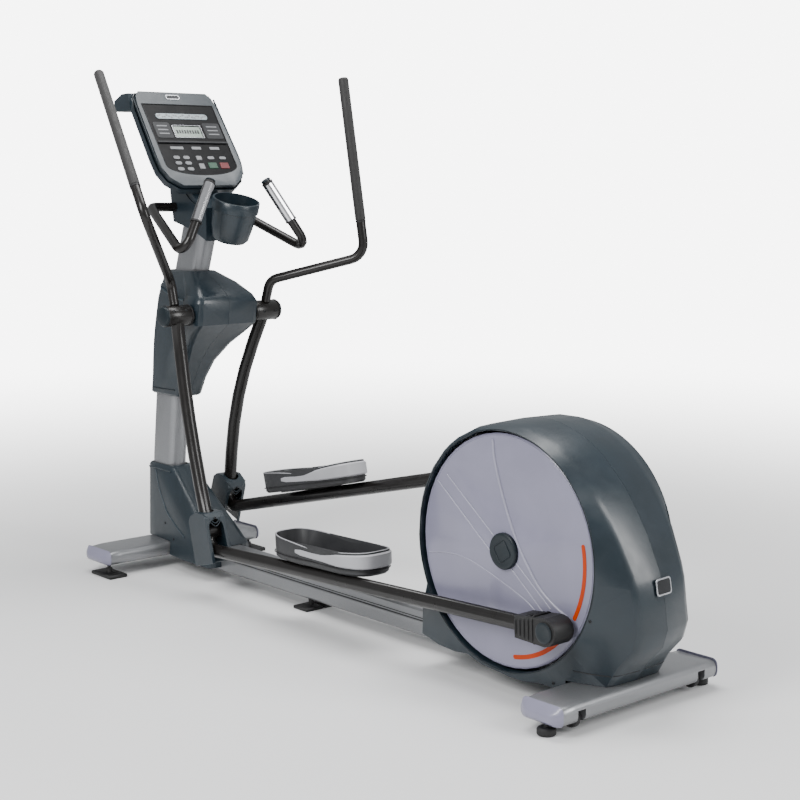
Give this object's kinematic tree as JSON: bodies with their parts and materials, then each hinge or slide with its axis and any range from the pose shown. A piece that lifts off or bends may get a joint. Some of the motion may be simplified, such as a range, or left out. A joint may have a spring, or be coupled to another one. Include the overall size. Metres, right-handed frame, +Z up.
{
  "type": "elliptical trainer",
  "caption": "Free-standing rear-drive elliptical trainer: swinging arms and foot bars linked to a crank with side discs, a mast with console, cup holder and fixed pulse handlebar.",
  "frame": {"origin": "centre of the overall box's floor rectangle, on the floor under the feet", "axes": "+X towards the drive housing at the rear, -X towards the console (the user faces -X), -Y is the user's left, +Z up"},
  "size_m": [2.2361, 0.743, 1.6336],
  "materials": {
    "shell_plastic": "moulded dark teal-grey plastic, satin",
    "silver_paint": "silver-grey metallic powder coat",
    "disc_plastic": "pale lavender-grey moulded plastic with two orange arcs",
    "black_paint": "gloss black powder coat",
    "grip_foam": "dense black foam sleeve",
    "black_rubber": "black rubber",
    "pedal_plastic": "textured dark grey plastic",
    "panel_gloss": "gloss black overlay",
    "screen_glass": "grey-green liquid crystal window",
    "circuit_board": "green solder mask",
    "sensor_chrome": "polished sensor plates",
    "plain_steel": "turned steel",
    "wheel_iron": "turned cast iron",
    "grey_key": "grey key caps",
    "green_key": "green key cap",
    "red_key": "red key cap"
  },
  "bodies": {
    "frame": {"base_rail": "silver_paint", "front_stabiliser": "silver_paint", "rear_stabiliser": "silver_paint", "centre_foot_left": "black_rubber", "centre_foot_right": "black_rubber", "mast": "silver_paint", "arm_axle": "plain_steel", "boot_left": "shell_plastic", "boot_right": "shell_plastic", "shroud_left": "shell_plastic", "shroud_right": "shell_plastic", "neck_cover": "shell_plastic", "cup_holder": "shell_plastic", "housing_left": "shell_plastic", "housing_right": "shell_plastic", "console_back": "shell_plastic", "console_bezel": "shell_plastic", "console_panel": "panel_gloss", "lcd_module": "screen_glass", "console_board": "circuit_board", "static_handlebar": "black_paint", "pulse_grip_left": "sensor_chrome", "pulse_grip_right": "sensor_chrome", "drive_frame": "silver_paint", "drive_belt": "black_rubber", "brake_magnet": "wheel_iron"},
    "crank": {"crank_shaft": "plain_steel", "crank_disc_left": "disc_plastic", "crank_disc_right": "disc_plastic", "crank_pulley": "pedal_plastic"},
    "flywheel": {"flywheel": "wheel_iron", "flywheel_axle": "plain_steel", "flywheel_pulley": "plain_steel"},
    "idler": {"idler_pulley": "pedal_plastic"},
    "left_arm": {"swing_arm_left": "black_paint", "handlebar_left": "black_paint", "handlebar_grip_left": "grip_foam", "knuckle_cover_left": "shell_plastic", "knuckle_pin_left": "plain_steel"},
    "left_bar": {"foot_bar_left": "black_paint", "crank_boot_left": "black_rubber", "pedal_left": "pedal_plastic"},
    "left_wheel": {"transport_wheel_left": "black_rubber"},
    "front_left_foot": {"front_foot_left": "black_rubber"},
    "rear_left_foot": {"rear_foot_left": "black_rubber"},
    "right_arm": {"swing_arm_right": "black_paint", "handlebar_right": "black_paint", "handlebar_grip_right": "grip_foam", "knuckle_cover_right": "shell_plastic", "knuckle_pin_right": "plain_steel"},
    "right_bar": {"foot_bar_right": "black_paint", "crank_boot_right": "black_rubber", "pedal_right": "pedal_plastic"},
    "right_wheel": {"transport_wheel_right": "black_rubber"},
    "front_right_foot": {"front_foot_right": "black_rubber"},
    "rear_right_foot": {"rear_foot_right": "black_rubber"},
    "start_key_body": {"start_key": "green_key"},
    "stop_key_body": {"stop_key": "red_key"},
    "level_up_key_body": {"level_up_key": "grey_key"},
    "level_down_key_body": {"level_down_key": "grey_key"}
  },
  "joints": [
    {"name": "crank_spin", "type": "hinge", "parent": "frame", "child": "crank", "pos_m": [0.702, 0, 0.366], "axis": [0, 1, 0], "range_deg": [-10, 145.8]},
    {"name": "left_arm_swing", "type": "hinge", "parent": "frame", "child": "left_arm", "pos_m": [-0.728, 0, 0.869], "axis": [0, 1, 0], "range_deg": [-2.85, 41.35]},
    {"name": "right_arm_swing", "type": "hinge", "parent": "frame", "child": "right_arm", "pos_m": [-0.728, 0, 0.869], "axis": [0, 1, 0], "range_deg": [-39.56, 2.73]},
    {"name": "left_bar_pivot", "type": "hinge", "parent": "left_arm", "child": "left_bar", "pos_m": [-0.55379, -0.18, 0.20756], "axis": [0, 1, 0], "range_deg": [-45.21, 3.12]},
    {"name": "right_bar_pivot", "type": "hinge", "parent": "right_arm", "child": "right_bar", "pos_m": [-0.96378, 0.18, 0.22692], "axis": [0, 1, 0], "range_deg": [-3.12, 45.28]},
    {"name": "flywheel_spin", "type": "hinge", "parent": "frame", "child": "flywheel", "pos_m": [0.925, 0, 0.235], "axis": [0, 1, 0], "range_deg": [-51.13, 745.22]},
    {"name": "idler_spin", "type": "hinge", "parent": "frame", "child": "idler", "pos_m": [0.79863, 0.0525, 0.21138], "axis": [0, 1, 0], "range_deg": [-931.52, 63.91]},
    {"name": "left_transport_wheel_spin", "type": "hinge", "parent": "frame", "child": "left_wheel", "pos_m": [1.016, -0.224, 0.032], "axis": [0, 1, 0], "continuous": true},
    {"name": "right_transport_wheel_spin", "type": "hinge", "parent": "frame", "child": "right_wheel", "pos_m": [1.016, 0.224, 0.032], "axis": [0, 1, 0], "continuous": true},
    {"name": "front_left_foot_height", "type": "slide", "parent": "frame", "child": "front_left_foot", "axis": [0, 0, -1], "range_m": [0, 0.01]},
    {"name": "front_right_foot_height", "type": "slide", "parent": "frame", "child": "front_right_foot", "axis": [0, 0, -1], "range_m": [0, 0.01]},
    {"name": "rear_left_foot_height", "type": "slide", "parent": "frame", "child": "rear_left_foot", "axis": [0, 0, -1], "range_m": [0, 0.01]},
    {"name": "rear_right_foot_height", "type": "slide", "parent": "frame", "child": "rear_right_foot", "axis": [0, 0, -1], "range_m": [0, 0.01]},
    {"name": "start_press", "type": "slide", "parent": "frame", "child": "start_key_body", "axis": [-0.8178, 0, -0.5754], "range_m": [0, 0.001], "stiffness_N_per_m": 400, "springref_m": -0.0005},
    {"name": "stop_press", "type": "slide", "parent": "frame", "child": "stop_key_body", "axis": [-0.8178, 0, -0.5754], "range_m": [0, 0.001], "stiffness_N_per_m": 400, "springref_m": -0.0005},
    {"name": "level_up_press", "type": "slide", "parent": "frame", "child": "level_up_key_body", "axis": [-0.8178, 0, -0.5754], "range_m": [0, 0.001], "stiffness_N_per_m": 400, "springref_m": -0.0005},
    {"name": "level_down_press", "type": "slide", "parent": "frame", "child": "level_down_key_body", "axis": [-0.8178, 0, -0.5754], "range_m": [0, 0.001], "stiffness_N_per_m": 400, "springref_m": -0.0005}
  ],
  "couplings": [
    {"joint": "left_arm_swing", "follows": "crank_spin", "ratio": 0.28346},
    {"joint": "right_arm_swing", "follows": "crank_spin", "ratio": -0.27116},
    {"joint": "left_bar_pivot", "follows": "crank_spin", "ratio": -0.30993},
    {"joint": "right_bar_pivot", "follows": "crank_spin", "ratio": 0.31043},
    {"joint": "flywheel_spin", "follows": "crank_spin", "ratio": 5.1111},
    {"joint": "idler_spin", "follows": "crank_spin", "ratio": -6.3889}
  ]
}
